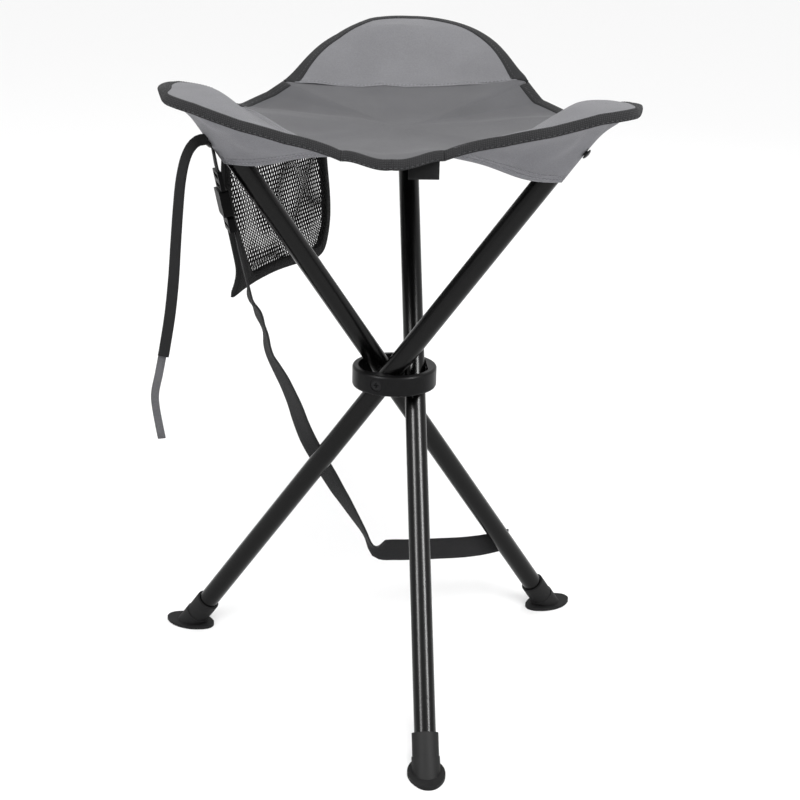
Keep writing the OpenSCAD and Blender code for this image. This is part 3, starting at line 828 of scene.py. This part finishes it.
def make_edge_tape(node, corner):
    clear = SEAM_ANGLE + math.radians(0.2)
    steps = np.linspace(clear, math.radians(120) - clear, 41)
    inner, outer = zip(*[middle_edge(corner + step) for step in steps])
    piece, normals = tape(f"{node}_binding", inner, outer, "edge_tape")
    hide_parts(node)
    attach(piece, "hub")
    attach(binding_stitches(f"{node}_stitches", inner, outer, normals, 0), "hub")


def make_pocket(side):
    lean, leg, tube = CORNERS[side]
    ms = np.linspace(0, 0.97, 49)
    qs = np.sin(np.linspace(-1, 1, 61) * math.pi / 2)
    grid = np.array([[pocket_point(lean, m, q) for q in qs] for m in ms])
    # The pockets take pocket_cloth, the corners' fabric with its value set for how the pockets are lit:
    # painted light.
    piece = shell(f"{side}_pocket_cloth", grid, CLOTH_THICK, "pocket_cloth")
    flat, area = corner_flat(grid)
    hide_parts(f"{side}_pocket")
    blend_corner(piece)
    normals = grid_normals(grid)
    outward = turned((1, 0, -1), lean)
    flip = 1 if (normals[4, 10] @ outward) > 0 else -1
    normals = flip * normals
    lines = [
        [(grid[row, j] + normals[row, j] * 0.6, normals[row, j]) for j in range(3, 58)]
        for row in (2, 4)
    ]
    sewn = stitches(f"{side}_hem_stitches", lines, 2.4, 3.4, 0.22, "hem_thread")
    blend_corner(sewn)


def make_middle_panel():
    angles = []
    for c in (math.radians(90), math.radians(210), math.radians(330)):
        angles.extend(c + np.linspace(-1, 1, 41) * (SEAM_ANGLE - 0.01))
        angles.extend(c + np.linspace(SEAM_ANGLE + 0.005, math.radians(120) - SEAM_ANGLE - 0.005, 26))
    grid = []
    for a in angles:
        if from_corner(a) < SEAM_ANGLE:
            row = [panel_point(a, (outline_r(a) + 0.5) * k) for k in np.linspace(0, 1, 35)]
        else:
            inner, outer = middle_edge(a)
            flat = turned(inner, -a - SEAT_TURN)
            last = math.hypot(flat[0], flat[1])
            row = [panel_point(a, last * k) for k in np.linspace(0, 1, 34)[:-1]]
            row.extend([inner, inner + (outer - inner) * 0.4])
        grid.append(row)
    grid = np.array(grid)
    piece = shell("seat_cloth", grid, CLOTH_THICK, "dark_cloth", wrap=True, centre=True)
    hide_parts("seat_panel")
    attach(piece, "hub")


# ---------- mesh pocket ----------

MESH_AZIMUTH = math.radians(150)
MESH_OUT = np.array([math.cos(MESH_AZIMUTH), math.sin(MESH_AZIMUTH), 0])
MESH_ALONG = np.array([math.cos(math.radians(60)), math.sin(math.radians(60)), 0])
# Rim of the pocket as (along, height) pairs: outer edge of the binding, then its inner edge.
MESH_RIM = [
    ((-84, 428), (-76, 428)), ((-86, 404), (-78, 403)), ((-84, 384), (-76, 386)), ((-77, 362), (-69, 366)),
    ((-70, 342), (-60, 347)), ((-66, 328), (-54, 335)), ((-69, 319), (-51, 329)), ((-75, 311.5), (-49, 326)),
    ((-64, 313.5), (-46, 324.5)), ((-42, 316), (-38, 324)), ((-10, 317), (-10, 325)),
    ((20, 315.5), (20, 323.5)), ((48, 313.5), (47, 322)), ((60, 313), (56, 322)), ((68, 316), (61, 324)),
    ((74, 326), (66, 330)),
    ((78, 342), (70, 343)), ((77, 362), (69, 362)), ((72, 388), (64, 387)), ((69, 408), (61, 407)),
    ((68, 428), (60, 428)),
]
MESH_NET = [((a + c) / 2, (b + d) / 2) for (a, b), (c, d) in MESH_RIM]


def mesh_place(along, z, side):
    """A point of one layer of the pocket; side is +1 outside and -1 inside."""
    sag = math.sin(math.pi * min(1, max(0, (z - 312) / 130))) * 1.5
    fold = 0.8 * noise(Vector((along / 35, z / 50, side * 3)))
    return MESH_OUT * (MESH_R + side * (0.9 + 0.8 * sag) + fold) + MESH_ALONG * along + np.array([0, 0, z])


def inside_outline(along, z, outline):
    """Whether a place is inside a closed outline."""
    hit = False
    for (x1, y1), (x2, y2) in zip(outline, outline[1:] + outline[:1]):
        if (y1 > z) != (y2 > z) and along < (x2 - x1) * (z - y1) / (y2 - y1) + x1:
            hit = not hit
    return hit


def net_strand(points, faces, a, b, normal):
    """Adds one thin four-sided strand from a to b."""
    run = b - a
    side = np.cross(normal, run / np.linalg.norm(run)) * NET_STRAND
    up = normal * NET_STRAND * 0.8
    base = len(points)
    for p in (a, b):
        points.extend([p + side, p + up, p - side, p - up])
    for k in range(4):
        n = (k + 1) % 4
        faces.append((base + k, base + n, base + 4 + n, base + 4 + k))
    faces.append((base + 3, base + 2, base + 1, base))
    faces.append((base + 4, base + 5, base + 6, base + 7))


def make_netting():
    """Diamond netting of thin strands, in two layers that are a little out of step."""
    row_height = NET_PITCH * 0.87
    points, faces = [], []
    for layer in (1, -1):
        shift = 0 if layer > 0 else NET_PITCH * 0.12
        for i in range(int(NET_HEIGHT / NET_PITCH * 1.15)):
            z = NET_FLOOR_Z + i * row_height + shift * 0.5
            offset = (i % 2) * NET_PITCH / 2 + shift
            for j in range(-36, 34):
                here = (j * NET_PITCH + offset, z)
                for dx in (-NET_PITCH / 2, NET_PITCH / 2):
                    there = (here[0] + dx, z + row_height)
                    if inside_outline(*here, MESH_NET) and inside_outline(*there, MESH_NET):
                        ends = mesh_place(*here, layer), mesh_place(*there, layer)
                        net_strand(points, faces, *ends, MESH_OUT)
    uvs = np.array(points)[:, [0, 2]] * 0.001
    piece = add_object("mesh_netting", points, faces, "netting", uvs, smooth=False)
    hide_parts("mesh_pocket")
    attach(piece, "hub")


def make_mesh_binding():
    """Black tape folded round the pocket's sides and bottom."""
    outer = smooth_route([(x, 0, z, 0) for (x, z), inner in MESH_RIM], 3)[:, [0, 2]]
    share = np.linspace(0, 1, len(outer))
    inner = smooth_route([(x, 0, z, 0) for edge, (x, z) in MESH_RIM], 1)[:, [0, 2]]
    place = np.linspace(0, 1, len(inner))
    inner = np.array([[np.interp(t, place, inner[:, k]) for k in (0, 1)] for t in share])
    thick = MESH_GAP / 2 - 1.5
    rings, uvs, length = [], [], 0
    for i, (o, n) in enumerate(zip(outer, inner)):
        if i:
            length += np.linalg.norm(outer[i] - outer[i - 1])
        width = np.linalg.norm(n - o)
        ring = []
        for w, t in ((0, 0.4), (0.12, 1), (0.85, 1), (1, 0.7), (1, -0.7), (0.85, -1), (0.12, -1), (0, -0.4)):
            x, z = o + (n - o) * w
            ring.append(MESH_OUT * (MESH_R + t * thick) + MESH_ALONG * x + np.array([0, 0, z]))
            uvs.append((w * width * 0.001, length * 0.001))
        rings.append(ring)
    piece = tube_along("mesh_binding", np.array(rings), "black_tape", np.array(uvs))
    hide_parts("mesh_pocket_tape")
    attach(piece, "hub")


def make_hang_tab():
    route = [(6, -134, z, 270) for z in (442, 437, 432, 427)]
    piece, _ = strap("front_hang_tab", route, HANG_TAB_W, 1.4, "black_tape")
    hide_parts("hang_tab")
    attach(piece, "hub")


# ---------- straps ----------


def make_straps():
    carry, centre = strap("carry_webbing", CARRY_ROUTE, WEBBING_W, WEBBING_THICK, "webbing")
    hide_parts("carry_strap")
    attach(carry, "right_leg")

    anchor, _ = strap("anchor_webbing", ANCHOR_ROUTE, WEBBING_W, WEBBING_THICK, "webbing")
    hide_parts("strap_anchor")
    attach(anchor, "right_leg")

    tie, centre = strap("tie_webbing", TIE_ROUTE, TIE_W, TIE_THICK, "tie_webbing")
    end, end_centre = strap("tie_end_webbing", TIE_END_ROUTE, TIE_END_W, TIE_THICK, "tie_webbing_end")
    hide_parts("tie_strap")
    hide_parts("tie_strap_end")
    for piece in (tie, end):
        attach(piece, "right_leg")


# ---------- CAD pieces that stay ----------


def finish_cad_nodes():
    """Gives every carried-over piece the material of its slot."""
    slots = {p["node"]: p["material_slot"] for p in frame["record"]["subparts"]}
    for node, made in frame["nodes"].items():
        made.data.materials.clear()
        made.data.materials.append(MATERIALS[slots[node]])


bpy.context.scene.view_settings.view_transform = "Standard"
make_camera()
make_lights()
make_floor()
finish_cad_nodes()
make_straps()
make_middle_panel()
for side in CORNERS:
    make_corner_panel(side)
    make_corner_seam(side)
    make_corner_tape(side)
    make_pocket(side)
for node, corner in EDGES.items():
    make_edge_tape(node, corner)
make_netting()
make_mesh_binding()
make_hang_tab()
